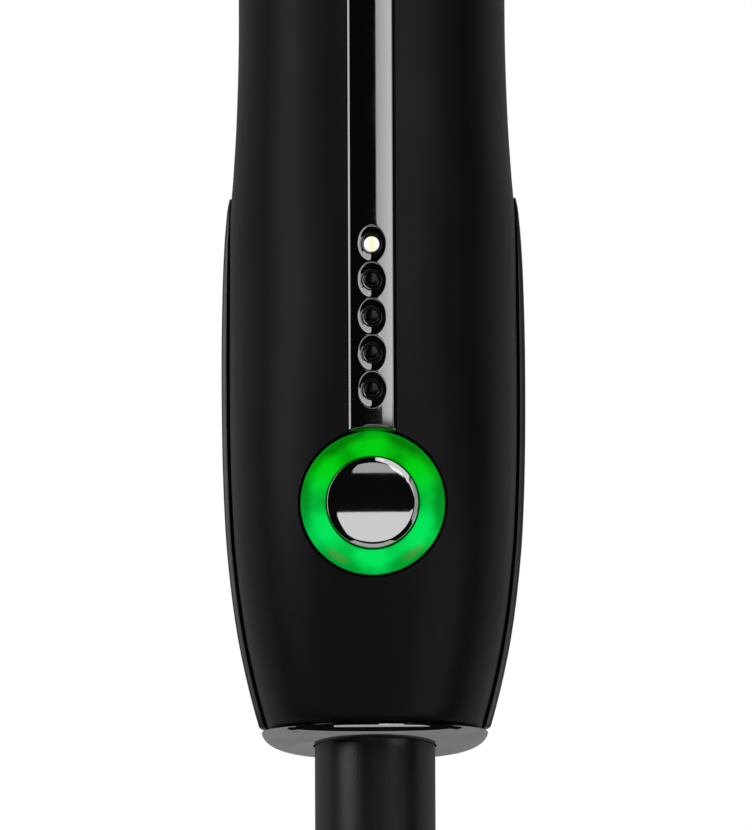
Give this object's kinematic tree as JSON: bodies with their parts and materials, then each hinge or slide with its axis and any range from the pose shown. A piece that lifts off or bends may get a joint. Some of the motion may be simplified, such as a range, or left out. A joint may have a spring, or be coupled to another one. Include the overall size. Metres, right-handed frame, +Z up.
{
  "type": "curling wand",
  "caption": "Hair curling wand with an oval black handle, lit ring and push button, indicator strip, swivel cord sleeve and a heated tapered barrel with a cool tip.",
  "frame": {"origin": "middle of the object's length and width, on the surface it lies on", "axes": "+Y along the wand towards the tip (the wand's axis dips 1.16 degrees towards the tip), +Z up out of the front with the button, +X to the right with the tip pointing away"},
  "size_m": [0.0374, 0.3763, 0.0316],
  "materials": {
    "matte_shell": "fine matte black moulding",
    "soft_grip": "soft-touch black",
    "sleeve_rubber": "matte black rubber, finely grained",
    "gloss_strip": "polished black",
    "smoked_lens": "polished smoked, unlit",
    "lit_lens": "polished, lit warm white",
    "green_ring": "translucent green, lit from behind",
    "chrome": "polished chrome plate",
    "dark_plastic": "moulded dark grey",
    "heatproof_black": "heat-proof black moulding",
    "red_plastic": "moulded red",
    "pale_plastic": "moulded off-white",
    "steel": "plain zinc-plated steel",
    "brass": "bright brass",
    "board": "green lacquered circuit board",
    "led_package": "pale light emitters",
    "capacitor_film": "yellow boxed film",
    "capacitor_can": "blue sleeved can",
    "ceramic_body": "unglazed ceramic",
    "supply_wire": "brown insulated wire",
    "heat_wire": "white heat-proof insulated wire",
    "barrel_coat": "dark satin ceramic coating",
    "aluminium": "plain extruded aluminium",
    "amber_film": "amber insulating film",
    "heatproof_grey": "heat-proof grey moulding"
  },
  "bodies": {
    "handle": {"front_shell": "matte_shell", "rear_shell": "matte_shell", "rear_grip": "soft_grip", "handle_screws": "steel", "inlay_strip": "gloss_strip", "indicator_lens_1": "smoked_lens", "indicator_lens_2": "smoked_lens", "indicator_lens_3": "smoked_lens", "indicator_lens_4": "smoked_lens", "indicator_lens_5": "lit_lens", "light_ring": "green_ring", "button_spring": "steel", "tact_switch": "dark_plastic", "main_board": "board", "board_screws": "steel", "indicator_leds": "led_package", "ring_leds": "led_package", "microcontroller": "dark_plastic", "triac": "dark_plastic", "filter_capacitor": "capacitor_film", "smoothing_capacitor": "capacitor_can", "mains_fuse": "ceramic_body", "end_cap": "chrome", "brush_live": "brass", "brush_neutral": "brass", "swivel_housing": "dark_plastic", "swivel_bush": "brass", "thrust_washer": "pale_plastic", "supply_leads": "supply_wire", "collar_ring": "chrome", "barrel_guard": "heatproof_black", "barrel": "barrel_coat", "upper_heat_spreader": "aluminium", "lower_heat_spreader": "aluminium", "ptc_heater": "ceramic_body", "heater_insulation": "amber_film", "heater_spring": "steel", "thermistor": "ceramic_body", "thermal_fuse": "ceramic_body", "heater_leads": "heat_wire", "sensor_leads": "heat_wire", "tip_insulator": "heatproof_grey", "cool_tip": "heatproof_black", "tip_screw": "steel"},
    "button": {"power_button": "chrome", "button_plunger": "dark_plastic", "switch_stem": "red_plastic"},
    "swivel": {"cord_sleeve": "sleeve_rubber", "swivel_spindle": "pale_plastic", "slip_ring_live": "brass", "slip_ring_neutral": "brass", "spindle_clip": "steel"}
  },
  "joints": [
    {"name": "button_press", "type": "slide", "parent": "handle", "child": "button", "axis": [0, -0.0202, -0.9998], "range_m": [0, 0.0005], "stiffness_N_per_m": 800, "springref_m": -0.0005, "deforming": ["button_spring"]},
    {"name": "cord_turn", "type": "hinge", "parent": "handle", "child": "swivel", "pos_m": [0, -0.13807, 0.01664], "axis": [0, 0.9998, -0.0202], "continuous": true}
  ]
}
